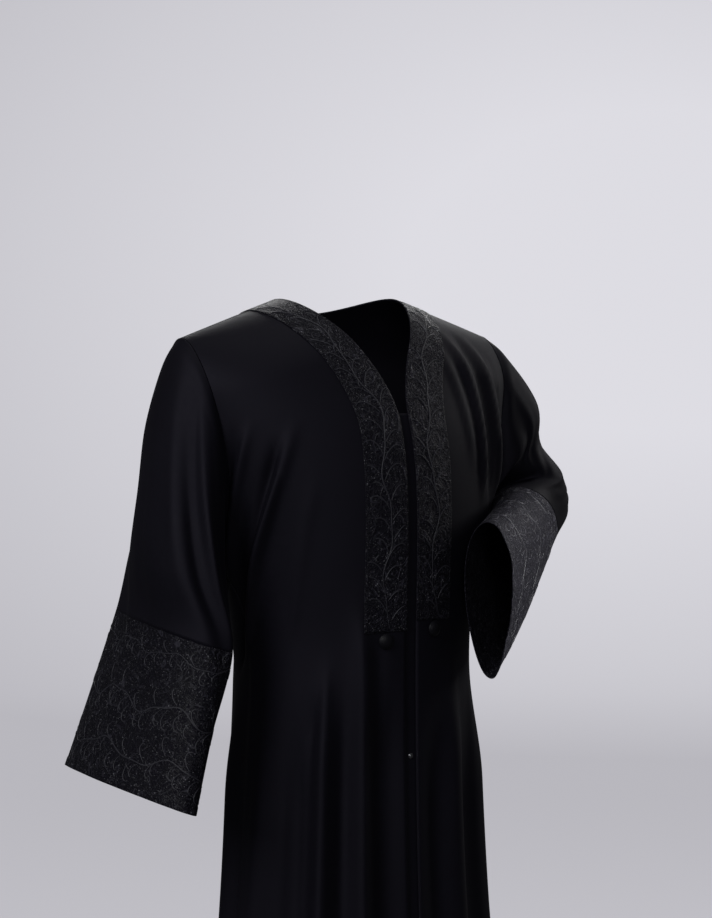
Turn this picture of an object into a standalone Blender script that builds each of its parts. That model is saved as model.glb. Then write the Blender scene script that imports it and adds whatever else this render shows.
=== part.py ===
"""An open-front abaya: a long crepe cloak worn loose, with embroidered front bands and deep flared cuffs.

It keeps the hollow form that it has on a general figure: the wearer's right arm hangs, and the left one is
bent across the front. Metres, +Z up. The garment faces -Y, the wearer's left is +X, and the origin is at the
height of the neck end of the shoulder seams, midway between the shoulders.
"""

from collections import namedtuple
from math import asin, cos, pi, radians, sin, sqrt

import bmesh
import bpy
import numpy as np
from mathutils import Vector

RIGHT, LEFT = -1, 1
CLOTH = 0.0015
TRIM = 0.0012
SEAM_GAP = 0.0005
LAYER_GAP = 0.0004

HEM_Z = -1.42
NECK_X = 0.085
NECK_BACK_DROP = 0.020
SHOULDER_TIP_X = 0.230
SHOULDER_SLOPE = 0.331
SHOULDER_Y = 0.012
SHOULDER_ROUND = 0.075
UNDERARM_Z = -0.300

FRONT_EDGE_X = 0.007
BAND_WIDTH = 0.058
BAND_SHOULDER_WIDTH = 0.043
BAND_END_Z = {RIGHT: -0.412, LEFT: -0.400}
NECKLINE_DROP = 0.150
NECKLINE_EASE = 1.8
TIP_SHARE = 0.43
ARMHOLE_EASE = 1.3

UNDERLAP_REACH = 0.3
UNDERLAP_TOP_Z = -0.140
UNDERLAP_GAP = 0.0011

BUTTON_RADIUS = 0.010
BUTTON_HEIGHT = 0.0065
BUTTON_X = 0.037
BUTTON_DROP = 0.003
STUD_RADIUS = 0.0035
STUD_HEIGHT = 0.0016
STUD_Z = -0.572

DOME_BASE_SHARE = 0.94
DOME_RIM_SHARE = 0.35
DOME_RINGS = 5
DOME_STEPS = 20

# The sleeves start this far outside the armholes. Each half of an armhole has the points of half a sleeve.
SLEEVE_OFFSET = 0.0018
AROUND = 20
SLEEVE_ROWS = 10
CUFF_ROWS = 4

# Columns of points across half a panel, from its front edge or centre back to its side seam.
BAND_COLUMNS = 3
NECK_COLUMNS = 3
SHOULDER_COLUMNS = 4
ARMHOLE_COLUMNS = AROUND // 4
BACK_NECK_SHARE = 0.24

# Rows of points down the body. The first ones lie closer together, below the sloping shoulder.
BAND_ROWS = 13
BACK_BAND_ROWS = 3
SKIRT_ROWS = 14
SHOULDER_CROWDING = 1.7
SHOULDER_SETTLING = 6.0
UNDERARM_SETTLING = 1.2

MERGE_DISTANCE = 1e-6
SURFACE_STEP = 0.004

# The body's level sections: half its width, and how far its front and back stand from the shoulder line.
BodyRow = namedtuple("BodyRow", "z half_width front_y side_y back_y")
BODY = [
    BodyRow(0.03, 0.258, -0.060, 0.010, 0.085),
    BodyRow(-0.05, 0.255, -0.096, 0.008, 0.104),
    BodyRow(-0.10, 0.250, -0.122, 0.004, 0.113),
    BodyRow(-0.16, 0.232, -0.148, 0.000, 0.117),
    BodyRow(-0.22, 0.212, -0.160, -0.006, 0.116),
    BodyRow(-0.30, 0.190, -0.163, -0.014, 0.112),
    BodyRow(-0.43, 0.161, -0.160, -0.025, 0.104),
    BodyRow(-0.60, 0.166, -0.162, -0.028, 0.106),
    BodyRow(-0.80, 0.178, -0.170, -0.030, 0.116),
    BodyRow(-1.10, 0.207, -0.193, -0.032, 0.138),
    BodyRow(-1.42, 0.240, -0.222, -0.032, 0.164),
]

# The armhole's distance from the centre line, on the front and on the back panel.
ArmholeRow = namedtuple("ArmholeRow", "z front_x back_x")
ARMHOLE = [
    ArmholeRow(-0.048, 0.230, 0.230),
    ArmholeRow(-0.100, 0.226, 0.226),
    ArmholeRow(-0.160, 0.213, 0.215),
    ArmholeRow(-0.230, 0.201, 0.202),
    ArmholeRow(-0.300, 0.190, 0.190),
]

# Folds of the body, by angle from the centre front in degrees, the wearer's left positive.
Fold = namedtuple("Fold", "top_angle end_angle top_z end_z half_width depth")
BODY_FOLDS = [
    Fold(-44, -95, -0.17, -0.47, 5.0, 0.011),
    Fold(-56, -106, -0.19, -0.50, 6.0, -0.008),
    Fold(-62, -93, -0.17, -0.36, 5.0, 0.006),
    Fold(-41, -46, -0.42, -1.80, 6.5, 0.013),
    Fold(-54, -60, -0.48, -1.80, 7.0, -0.010),
    Fold(-33, -34, -0.46, -1.80, 5.5, -0.008),
    Fold(-25, -22, -0.34, -1.80, 5.5, 0.010),
    Fold(-12, -11, -0.44, -1.80, 6.5, -0.010),
    Fold(14, 13, -0.50, -1.80, 6.0, -0.007),
    Fold(26, 27, -0.42, -1.80, 6.0, 0.010),
    Fold(40, 41, -0.50, -1.80, 7.0, -0.009),
    Fold(54, 57, -0.46, -1.80, 7.0, 0.012),
    Fold(72, 75, -0.52, -1.80, 8.0, -0.010),
    Fold(-76, -78, -0.52, -1.80, 7.0, 0.008),
    Fold(-100, -101, -0.47, -1.80, 7.5, 0.011),
    Fold(-121, -122, -0.40, -1.80, 8.0, -0.009),
    Fold(-140, -143, -0.34, -1.80, 8.0, 0.012),
    Fold(-161, -162, -0.36, -1.80, 8.0, -0.008),
    Fold(-179, -181, -0.30, -1.80, 8.0, 0.010),
    Fold(158, 159, -0.38, -1.80, 8.0, -0.009),
    Fold(138, 141, -0.33, -1.80, 8.0, 0.011),
    Fold(118, 119, -0.44, -1.80, 8.0, -0.008),
    Fold(100, 101, -0.45, -1.80, 9.5, 0.010),
    Fold(33, 60, -0.06, -0.22, 5.0, 0.006),
    Fold(50, 56, -0.09, -0.345, 9.0, 0.009),
]
FOLD_ONSET = 0.16

# Sections of each sleeve beyond the armhole. x is measured outward from the centre line. Droop lowers the arm
# from level, bend folds it forward at the elbow, and turn swings it toward the centre, all in degrees.
ArmRow = namedtuple("ArmRow", "along x y z droop bend turn half_front half_side taper")
ARM = {
    RIGHT: [
        ArmRow(0.045, 0.2215, 0.004, -0.185, 12, 0, 0, 0.070, 0.117, 0.00),
        ArmRow(0.110, 0.232, 0.002, -0.220, 23, 0, 0, 0.076, 0.090, 0.00),
        ArmRow(0.190, 0.240, 0.000, -0.272, 41, -2, 0, 0.082, 0.066, 0.05),
        ArmRow(0.290, 0.250, -0.002, -0.340, 64, -6, 3, 0.090, 0.054, 0.10),
        ArmRow(0.385, 0.257, -0.005, -0.410, 75, -9, 8, 0.105, 0.043, 0.15),
        ArmRow(0.485, 0.291, -0.012, -0.506, 73, -9, 11, 0.113, 0.039, 0.15),
        ArmRow(0.590, 0.326, -0.020, -0.602, 72, -9, 14, 0.119, 0.036, 0.15),
    ],
    LEFT: [
        ArmRow(0.045, 0.2235, 0.002, -0.182, 13, 0, 0, 0.070, 0.118, 0.00),
        ArmRow(0.110, 0.247, 0.002, -0.200, 33, 6, 0, 0.076, 0.090, 0.00),
        ArmRow(0.190, 0.261, 0.004, -0.229, 54, 14, 8, 0.078, 0.061, 0.00),
        ArmRow(0.290, 0.300, -0.006, -0.264, 80, 22, 30, 0.078, 0.055, 0.05),
        ArmRow(0.385, 0.270, -0.034, -0.298, 90, 38, 44, 0.086, 0.045, 0.10),
        ArmRow(0.485, 0.193, -0.114, -0.340, 90, 66, 44, 0.090, 0.033, 0.25),
        ArmRow(0.590, 0.100, -0.188, -0.378, 90, 84, 46, 0.099, 0.029, 0.25),
    ],
}
CUFF_SEAM_ALONG = 0.385
CUFF_HEM_ALONG = 0.590

# Folds of the sleeves, by angle round the arm: 0 degrees in front, 90 outside, 180 behind, -90 at the seam.
ArmFold = namedtuple("ArmFold", "start_turn end_turn start end half_width depth")
ARM_FOLDS = {
    RIGHT: [
        ArmFold(60, -5, 0.03, 0.40, 16, -0.007),
        ArmFold(28, -32, 0.06, 0.46, 15, 0.007),
        ArmFold(62, 15, 0.10, 0.44, 16, 0.004),
        ArmFold(150, 120, 0.12, 0.50, 20, -0.006),
        ArmFold(205, 175, 0.08, 0.48, 20, 0.006),
    ],
    LEFT: [
        ArmFold(20, 10, 0.02, 0.24, 16, -0.006),
        ArmFold(52, 30, 0.05, 0.30, 16, 0.006),
        ArmFold(110, 60, 0.14, 0.34, 18, -0.005),
        ArmFold(150, 105, 0.18, 0.40, 18, 0.006),
        ArmFold(210, 170, 0.06, 0.36, 20, 0.005),
    ],
}

COLLECTION_NAME = "abaya_cloak"
Surface = namedtuple("Surface", "colour roughness metallic")
CREPE = Surface((0.006, 0.006, 0.009), 0.62, 0.0)
BROCADE = Surface((0.011, 0.011, 0.015), 0.50, 0.0)
COVERED = Surface((0.008, 0.008, 0.011), 0.48, 0.0)
STUD_METAL = Surface((0.30, 0.30, 0.32), 0.25, 1.0)


def clear_scene():
    for thing in list(bpy.data.objects):
        bpy.data.objects.remove(thing, do_unlink=True)


def through(places, values, place):
    """Smooth value at a place on the curve through the rows. Each slope comes from the rows beside it."""
    places = np.asarray(places, float)
    values = np.asarray(values, float)
    slopes = np.empty_like(values)
    slopes[0] = (values[1] - values[0]) / (places[1] - places[0])
    slopes[-1] = (values[-1] - values[-2]) / (places[-1] - places[-2])
    for row in range(1, len(places) - 1):
        slopes[row] = (values[row + 1] - values[row - 1]) / (places[row + 1] - places[row - 1])
    row = int(np.clip(np.searchsorted(places, place) - 1, 0, len(places) - 2))
    span = places[row + 1] - places[row]
    part = min(max((place - places[row]) / span, 0.0), 1.0)
    rise = part * part * (3 - 2 * part)
    leave = part * (1 - part) ** 2
    arrive = part * part * (part - 1)
    level = values[row] * (1 - rise) + values[row + 1] * rise
    return level + span * (slopes[row] * leave + slopes[row + 1] * arrive)


def body_size(name, z):
    rows = sorted(BODY)
    return float(through([row.z for row in rows], [getattr(row, name) for row in rows], z))


def armhole_x(name, z):
    rows = sorted(ARMHOLE)
    return float(through([row.z for row in rows], [getattr(row, name) for row in rows], z))


def ramp(start, end, value):
    part = min(max((value - start) / (end - start), 0.0), 1.0)
    return part * part * (3 - 2 * part)


def shoulder_z(x):
    return -SHOULDER_SLOPE * (abs(x) - NECK_X)


def body_fold(angle, z):
    """How far the folds move the cloth outward at this angle and height."""
    total = 0.0
    for fold in BODY_FOLDS:
        share = (z - fold.top_z) / (fold.end_z - fold.top_z)
        if share <= 0 or share >= 1:
            continue
        centre = fold.top_angle + (fold.end_angle - fold.top_angle) * share
        apart = (np.degrees(angle) - centre + 180) % 360 - 180
        onset = ramp(fold.top_z, fold.top_z - FOLD_ONSET, z)
        fade = ramp(fold.end_z, fold.end_z + FOLD_ONSET, z)
        total += fold.depth * onset * fade * np.exp(-((apart / fold.half_width) ** 2))
    return total


def body_point(angle, z):
    """A point of the worn body, at an angle from the centre front that is positive to the wearer's left."""
    x = body_size("half_width", z) * sin(angle)
    side_y = body_size("side_y", z)
    edge_y = body_size("front_y" if cos(angle) > 0 else "back_y", z)
    y = side_y + (edge_y - side_y) * abs(cos(angle))
    drop = min(max((shoulder_z(x) - z) / SHOULDER_ROUND, 0.0), 1.0)
    y = SHOULDER_Y + (y - SHOULDER_Y) * sqrt(1 - (1 - drop) ** 2)
    out = body_fold(angle, z)
    return Vector((x + sin(angle) * out, y - cos(angle) * out, z))


Column = namedtuple("Column", "top_x top_z near share")


def shoulder_and_armhole_columns(first_x, near, first_share, armhole_side):
    """The columns beyond the band or the neckline, out along the shoulder seam and then down the armhole."""
    columns = []
    for step in range(1, SHOULDER_COLUMNS + 1):
        part = step / SHOULDER_COLUMNS
        x = first_x + (SHOULDER_TIP_X - first_x) * part
        columns.append(Column(x, shoulder_z(x), near, first_share + (TIP_SHARE - first_share) * part))
    tip_z = shoulder_z(SHOULDER_TIP_X)
    for step in range(1, ARMHOLE_COLUMNS + 1):
        part = (1 - cos(pi * step / ARMHOLE_COLUMNS)) / 2
        z = tip_z + (UNDERARM_Z - tip_z) * part
        share = TIP_SHARE + (1 - TIP_SHARE) * part**ARMHOLE_EASE
        columns.append(Column(armhole_x(armhole_side, z), z, near, share))
    return columns


def front_columns():
    """From the front edge, across the band, along the shoulder seam and down the armhole to the side seam."""
    columns = []
    for step in range(BAND_COLUMNS + 1):
        part = step / BAND_COLUMNS
        x = NECK_X + BAND_SHOULDER_WIDTH * part
        columns.append(Column(x, shoulder_z(x), FRONT_EDGE_X + BAND_WIDTH * part, 0.0))
    last = columns[-1]
    return columns + shoulder_and_armhole_columns(last.top_x, last.near, 0.0, "front_x")


def back_columns():
    """From the centre back along half the neckline, then as on the front."""
    columns = []
    for step in range(NECK_COLUMNS + 1):
        part = sin(pi / 2 * step / NECK_COLUMNS)
        z = -NECK_BACK_DROP * (1 - part**2)
        columns.append(Column(NECK_X * part, z, 0.0, BACK_NECK_SHARE * step / NECK_COLUMNS))
    return columns + shoulder_and_armhole_columns(NECK_X, 0.0, BACK_NECK_SHARE, "back_x")


def settled_x(column, z):
    half_width = body_size("half_width", z)
    near_angle = asin(min(column.near / half_width, 1.0))
    return half_width * sin(near_angle + (pi / 2 - near_angle) * column.share)


def column_angle(column, z):
    """The column's angle from the centre front. It leaves the shoulder at top_x and eases to its settled place."""
    fallen = min((column.top_z - z) / NECKLINE_DROP, 1.0)
    shift = (column.top_x - settled_x(column, column.top_z)) * (1 - fallen) ** NECKLINE_EASE
    return asin(min((settled_x(column, z) + shift) / body_size("half_width", z), 1.0))


def levels(side):
    """Heights of the body's rows as shares of the whole length, with one at the end of that side's band."""
    upper = BAND_END_Z[side] * np.linspace(0, 1, BAND_ROWS + 1) ** SHOULDER_CROWDING
    lower = np.linspace(BAND_END_Z[side], HEM_Z, SKIRT_ROWS + 1)[1:]
    return np.concatenate([upper, lower]) / HEM_Z


def row_z(column, level):
    """The height of a row on a column. Rows run level soon below the shoulder, and later below the armhole."""
    settling = SHOULDER_SETTLING + (UNDERARM_SETTLING - SHOULDER_SETTLING) * column.top_z / UNDERARM_Z
    return HEM_Z * level + column.top_z * (1 - level) ** settling


def front_points(side):
    rows = []
    for level in levels(side):
        heights = [(column, row_z(column, level)) for column in front_columns()]
        rows.append([body_point(side * column_angle(column, z), z) for column, z in heights])
    return rows


def back_points():
    rows = []
    for right_level, left_level in zip(levels(RIGHT), levels(LEFT)):
        row = []
        for side, level in ((RIGHT, right_level), (LEFT, left_level)):
            half = []
            for column in back_columns():
                z = row_z(column, right_level + (level - right_level) * column.share)
                half.append(body_point(pi - side * column_angle(column, z), z))
            row += half[:0:-1] if side == RIGHT else half
        rows.append(row)
    return rows


def drawn_in(edge, inside, closed=False):
    """The points of an edge moved into their panel by half a seam gap, square to the edge."""
    moved = []
    last = len(edge) - 1
    for index, point in enumerate(edge):
        before = edge[index - 1] if closed or index > 0 else point
        after = edge[(index + 1) % len(edge)] if closed or index < last else point
        along = (after - before).normalized()
        inward = inside[index] - point
        inward -= along * inward.dot(along)
        moved.append(point + inward.normalized() * SEAM_GAP)
    return moved


def inset_panel(rows, columns=()):
    """Draws in the top of a panel and the named outer columns, 0 or -1, so that it clears its neighbours."""
    rows = [list(row) for row in rows]
    for edge in columns:
        beside = 1 if edge == 0 else -2
        moved = drawn_in([row[edge] for row in rows], [row[beside] for row in rows])
        for row, point in zip(rows, moved):
            row[edge] = point
    rows[0] = drawn_in(rows[0], rows[1])
    return rows


def normals(rows, outward):
    """Unit normals at the points of an open grid, all on the side that outward points to."""
    points = np.array([[list(point) for point in row] for row in rows])
    down = np.gradient(points, axis=0)
    across = np.gradient(points, axis=1)
    found = np.cross(down, across)
    found /= np.linalg.norm(found, axis=2, keepdims=True)
    middle = found[found.shape[0] // 2, found.shape[1] // 2]
    return found if np.dot(middle, outward) > 0 else -found


def moved_out(rows, outward, distance):
    directions = normals(rows, outward)
    moved = []
    for row, outs in zip(rows, directions):
        moved.append([point + Vector(out) * distance for point, out in zip(row, outs)])
    return moved


def armhole_point(side, turn):
    """A point of the armhole seam. Turn is 0 in front, 90 degrees at the shoulder tip, -90 at the underarm."""
    tip_z = shoulder_z(SHOULDER_TIP_X)
    z = (tip_z + UNDERARM_Z) / 2 + (tip_z - UNDERARM_Z) / 2 * sin(turn)
    in_front = cos(turn) > 0
    x = armhole_x("front_x" if in_front else "back_x", z)
    angle = asin(min(x / body_size("half_width", z), 1.0))
    return body_point(side * angle if in_front else pi - side * angle, z)


def arm_ring(side, row, turn):
    """A point of one section of a sleeve, as for an arm that leaves the shoulder level and is then posed."""
    droop, bend, swing = radians(row.droop), radians(row.bend), radians(row.turn)
    ahead = Vector((cos(droop), 0, -sin(droop)))
    outer = Vector((sin(droop), 0, cos(droop)))
    front = Vector((0, -1, 0)) * cos(bend) - ahead * sin(bend)
    swell = row.half_side * sin(turn) * (1 + row.taper * cos(turn))
    place = front * row.half_front * cos(turn) + outer * swell
    x = place.x * cos(swing) + place.y * sin(swing)
    y = place.y * cos(swing) - place.x * sin(swing)
    return Vector((side * (row.x + x), row.y + y, row.z + place.z))


def arm_fold(side, turn, along):
    total = 0.0
    for fold in ARM_FOLDS[side]:
        share = (along - fold.start) / (fold.end - fold.start)
        if share <= 0 or share >= 1:
            continue
        centre = fold.start_turn + (fold.end_turn - fold.start_turn) * share
        apart = (np.degrees(turn) - centre + 180) % 360 - 180
        total += fold.depth * sin(pi * share) * np.exp(-((apart / fold.half_width) ** 2))
    return total


def arm_points(side, start, end, steps):
    """Rows of a sleeve between two distances along it, each running once round from the underarm seam."""
    turns = [2 * pi * step / AROUND - pi / 2 for step in range(AROUND)]
    off_body = Vector((side * SLEEVE_OFFSET, 0, 0))
    rings = [[list(armhole_point(side, turn) + off_body) for turn in turns]]
    rings += [[list(arm_ring(side, row, turn)) for turn in turns] for row in ARM[side]]
    places = [0.0] + [row.along for row in ARM[side]]
    rows = []
    for along in np.linspace(start, end, steps + 1):
        ring = through(places, rings, along)
        centre = ring.mean(axis=0)
        row = []
        for point, turn in zip(ring, turns):
            outward = Vector(point - centre).normalized()
            row.append(Vector(point) + outward * arm_fold(side, turn, along))
        rows.append(row)
    return rows


def material(name, surface):
    made = bpy.data.materials.new(name)
    made.use_nodes = True
    shader = made.node_tree.nodes["Principled BSDF"]
    shader.inputs["Base Color"].default_value = (*surface.colour, 1.0)
    shader.inputs["Roughness"].default_value = surface.roughness
    shader.inputs["Metallic"].default_value = surface.metallic
    return made


def add_object(name, mesh, surface):
    mesh.materials.append(material(name, surface))
    made = bpy.data.objects.new(name, mesh)
    bpy.data.collections[COLLECTION_NAME].objects.link(made)
    return made


def add_cloth(name, rows, outward, thickness, surface, closed=False):
    """A wall of cloth along a grid of points. A closed one joins its last column to its first."""
    if closed:
        rows = [row + row[:1] for row in rows]
    columns = len(rows[0])
    shape = bmesh.new()
    grid = bmesh.ops.create_grid(shape, x_segments=columns - 1, y_segments=len(rows) - 1, size=1.0)["verts"]
    for index, vertex in enumerate(grid):
        vertex.co = rows[index // columns][index % columns]
    bmesh.ops.remove_doubles(shape, verts=shape.verts, dist=MERGE_DISTANCE)
    middle = shape.faces[:][len(shape.faces) // 2]
    middle.normal_update()
    centre = Vector(np.mean([list(vertex.co) for vertex in shape.verts], axis=0))
    facing = middle.calc_center_median() - centre if outward is None else Vector(outward)
    if middle.normal.dot(facing) < 0:
        bmesh.ops.reverse_faces(shape, faces=shape.faces)
    mesh = bpy.data.meshes.new(name)
    shape.to_mesh(mesh)
    shape.free()
    mesh.shade_smooth()
    cloth = add_object(name, mesh, surface)
    wall = cloth.modifiers.new("wall", "SOLIDIFY")
    wall.thickness = thickness
    wall.offset = 0.0
    return cloth


def add_body():
    fronts = {RIGHT: "front_right", LEFT: "front_left"}
    for side, name in fronts.items():
        rows = inset_panel(front_points(side), columns=(-1,))
        add_cloth(name, rows, (0, -1, 0), CLOTH, CREPE)
    add_cloth("back", inset_panel(back_points(), columns=(0, -1)), (0, 1, 0), CLOTH, CREPE)


def add_bands():
    lift = (CLOTH + TRIM) / 2 + LAYER_GAP
    for side, name in ((RIGHT, "band_right"), (LEFT, "band_left")):
        raised = moved_out(front_points(side), (0, -1, 0), lift)
        rows = [row[: BAND_COLUMNS + 1] for row in raised[: BAND_ROWS + 1]]
        add_cloth(name, inset_panel(rows), (0, -1, 0), TRIM, BROCADE)
    raised = moved_out(back_points(), (0, 1, 0), lift)
    middle = len(raised[0]) // 2
    reach = NECK_COLUMNS + 1
    rows = [row[middle - reach : middle + reach + 1] for row in raised[: BACK_BAND_ROWS + 1]]
    add_cloth("band_back_neck", inset_panel(rows), (0, 1, 0), TRIM, BROCADE)


def add_underlap():
    """The plain strip behind the two front edges, made from the points of both fronts and set back."""
    rows = []
    for right, left in zip(front_points(RIGHT), front_points(LEFT)):
        if right[0].z > UNDERLAP_TOP_Z:
            continue
        reach_right = right[0].lerp(right[1], UNDERLAP_REACH)
        reach_left = left[0].lerp(left[1], UNDERLAP_REACH)
        rows.append([reach_right, right[0], left[0], reach_left])
    set_back = moved_out(rows, (0, -1, 0), -CLOTH - UNDERLAP_GAP)
    add_cloth("underlap", set_back, (0, -1, 0), CLOTH, CREPE)


def add_dome(name, radius, height, place, facing, surface):
    """A low dome on a flat base, turned from its half profile, with its base at place."""
    rim = height * DOME_RIM_SHARE
    shape = bmesh.new()
    profile = [shape.verts.new((0, 0, 0)), shape.verts.new((radius * DOME_BASE_SHARE, 0, 0))]
    for step in range(DOME_RINGS + 1):
        lift = pi / 2 * step / DOME_RINGS
        profile.append(shape.verts.new((radius * cos(lift), 0, rim + (height - rim) * sin(lift))))
    for first, second in zip(profile, profile[1:]):
        shape.edges.new((first, second))
    bmesh.ops.spin(
        shape,
        geom=shape.verts[:] + shape.edges[:],
        cent=(0, 0, 0),
        axis=(0, 0, 1),
        angle=2 * pi,
        steps=DOME_STEPS,
        use_merge=True,
        use_duplicate=False,
    )
    bmesh.ops.remove_doubles(shape, verts=shape.verts, dist=MERGE_DISTANCE)
    bmesh.ops.recalc_face_normals(shape, faces=shape.faces)
    mesh = bpy.data.meshes.new(name)
    shape.to_mesh(mesh)
    shape.free()
    mesh.shade_smooth()
    dome = add_object(name, mesh, surface)
    dome.rotation_mode = "QUATERNION"
    dome.rotation_quaternion = Vector((0, 0, 1)).rotation_difference(facing)
    dome.location = place
    return dome


def surface_at(x, z):
    """A point of the front at a distance from the centre line, and the direction that it faces."""
    half_width = body_size("half_width", z)
    point = body_point(asin(x / half_width), z)
    beside = body_point(asin((x + SURFACE_STEP) / half_width), z)
    above = body_point(asin(x / half_width), z + SURFACE_STEP)
    facing = (above - point).cross(beside - point).normalized()
    return point, facing if facing.y < 0 else -facing


def add_buttons():
    for side, name in ((RIGHT, "button_right"), (LEFT, "button_left")):
        button_z = BAND_END_Z[side] - BUTTON_RADIUS - BUTTON_DROP
        point, facing = surface_at(side * BUTTON_X, button_z)
        place = point + facing * (CLOTH / 2 + 2 * LAYER_GAP)
        add_dome(name, BUTTON_RADIUS, BUTTON_HEIGHT, place, facing, COVERED)
    point, facing = surface_at(0.0, STUD_Z)
    place = point + facing * (LAYER_GAP - CLOTH / 2 - UNDERLAP_GAP)
    add_dome("press_stud", STUD_RADIUS, STUD_HEIGHT, place, facing, STUD_METAL)


def add_sleeves():
    for side, end in ((RIGHT, "right"), (LEFT, "left")):
        sleeve = arm_points(side, 0.0, CUFF_SEAM_ALONG, SLEEVE_ROWS)
        cuff = arm_points(side, CUFF_SEAM_ALONG, CUFF_HEM_ALONG, CUFF_ROWS)
        sleeve[-1] = drawn_in(sleeve[-1], sleeve[-2], closed=True)
        cuff[0] = drawn_in(cuff[0], cuff[1], closed=True)
        add_cloth(f"sleeve_{end}", sleeve, None, CLOTH, CREPE, closed=True)
        add_cloth(f"cuff_{end}", cuff, None, CLOTH, BROCADE, closed=True)


def main():
    clear_scene()
    collection = bpy.data.collections.new(COLLECTION_NAME)
    bpy.context.scene.collection.children.link(collection)
    add_body()
    add_bands()
    add_underlap()
    add_buttons()
    add_sleeves()


main()
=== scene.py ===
from collections import namedtuple
from math import cos, pi, radians, sin

import bmesh
import bpy
import numpy as np
from mathutils import Matrix, Vector


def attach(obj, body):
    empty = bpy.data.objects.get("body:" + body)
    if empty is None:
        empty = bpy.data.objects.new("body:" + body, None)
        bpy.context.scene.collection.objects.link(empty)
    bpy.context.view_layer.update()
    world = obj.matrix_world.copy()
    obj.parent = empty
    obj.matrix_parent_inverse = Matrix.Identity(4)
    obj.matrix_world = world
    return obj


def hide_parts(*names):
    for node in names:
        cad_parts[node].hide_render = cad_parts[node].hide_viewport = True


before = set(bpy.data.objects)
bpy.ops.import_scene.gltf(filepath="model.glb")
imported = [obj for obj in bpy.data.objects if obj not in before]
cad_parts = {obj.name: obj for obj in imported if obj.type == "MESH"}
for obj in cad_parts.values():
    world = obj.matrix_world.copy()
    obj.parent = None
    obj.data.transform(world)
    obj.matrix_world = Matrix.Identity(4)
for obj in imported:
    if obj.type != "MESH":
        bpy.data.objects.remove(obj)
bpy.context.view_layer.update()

right, left = -1, 1
endNames = {right: "right", left: "left"}
print("frame loaded")

# sizes shared by all the panels, in metres; the wearer's left is +X and the garment faces -Y
cloak = dict(
    hemZ=-1.42, neckX=0.085, neckBackDrop=0.020, tipX=0.230, shoulderSlope=0.331, shoulderY=0.012,
    shoulderRound=0.075, underarmZ=-0.300, frontEdgeX=0.007, bandWidth=0.058, bandShoulderWidth=0.043,
    bandEndZ={right: -0.412, left: -0.400}, necklineDrop=0.150, necklineEase=1.8, tipShare=0.43,
    armholeEase=1.3, backNeckShare=0.24, shoulderCrowding=1.7, shoulderSettling=6.0, underarmSettling=1.2,
    clothThickness=0.0010,
)

# level sections of the worn body: half its width, and how far back its front, side and back stand
bodyRow = namedtuple("bodyRow", "z halfWidth frontY sideY backY")
bodyRows = [
    bodyRow(-1.42, 0.240, -0.222, -0.032, 0.164),
    bodyRow(-1.10, 0.207, -0.193, -0.032, 0.138),
    bodyRow(-0.80, 0.178, -0.170, -0.030, 0.116),
    bodyRow(-0.60, 0.166, -0.162, -0.028, 0.106),
    bodyRow(-0.43, 0.161, -0.160, -0.025, 0.104),
    bodyRow(-0.30, 0.190, -0.163, -0.014, 0.112),
    bodyRow(-0.22, 0.212, -0.160, -0.006, 0.116),
    bodyRow(-0.16, 0.232, -0.148, 0.000, 0.117),
    bodyRow(-0.10, 0.250, -0.122, 0.004, 0.113),
    bodyRow(-0.05, 0.255, -0.096, 0.008, 0.104),
    bodyRow(0.03, 0.258, -0.060, 0.010, 0.085),
]

# distance of the armhole seam from the centre line, in front and behind
armholeRow = namedtuple("armholeRow", "z frontX backX")
armholeRows = [
    armholeRow(-0.300, 0.190, 0.190),
    armholeRow(-0.230, 0.201, 0.202),
    armholeRow(-0.160, 0.213, 0.215),
    armholeRow(-0.100, 0.226, 0.226),
    armholeRow(-0.048, 0.230, 0.230),
]

# folds of the body by angle from the centre front in degrees, wearer's left positive
# the main ones come first, then the creases between them
fold = namedtuple("fold", "topAngle endAngle topZ endZ halfWidth depth")
mainFolds = [
    fold(-44, -95, -0.17, -0.47, 5.0, 0.011),
    fold(-56, -106, -0.19, -0.50, 6.0, -0.008),
    fold(-62, -93, -0.17, -0.36, 5.0, 0.006),
    fold(-41, -46, -0.42, -1.80, 6.5, 0.013),
    fold(-54, -60, -0.48, -1.80, 7.0, -0.010),
    fold(-33, -34, -0.46, -1.80, 5.5, -0.008),
    fold(-25, -22, -0.34, -1.80, 5.5, 0.010),
    fold(-12, -11, -0.44, -1.80, 6.5, -0.010),
    fold(14, 13, -0.50, -1.80, 6.0, -0.007),
    fold(26, 27, -0.42, -1.80, 6.0, 0.010),
    fold(40, 41, -0.50, -1.80, 7.0, -0.009),
    fold(54, 57, -0.46, -1.80, 7.0, 0.012),
    fold(72, 75, -0.52, -1.80, 8.0, -0.010),
    fold(-76, -78, -0.52, -1.80, 7.0, 0.008),
    fold(-100, -101, -0.47, -1.80, 7.5, 0.011),
    fold(-121, -122, -0.40, -1.80, 8.0, -0.009),
    fold(-140, -143, -0.34, -1.80, 8.0, 0.012),
    fold(-161, -162, -0.36, -1.80, 8.0, -0.008),
    fold(-179, -181, -0.30, -1.80, 8.0, 0.010),
    fold(158, 159, -0.38, -1.80, 8.0, -0.009),
    fold(138, 141, -0.33, -1.80, 8.0, 0.011),
    fold(118, 119, -0.44, -1.80, 8.0, -0.008),
    fold(100, 101, -0.45, -1.80, 9.5, 0.010),
    fold(33, 60, -0.06, -0.22, 5.0, 0.006),
    fold(50, 56, -0.09, -0.345, 9.0, 0.009),
]
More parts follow.
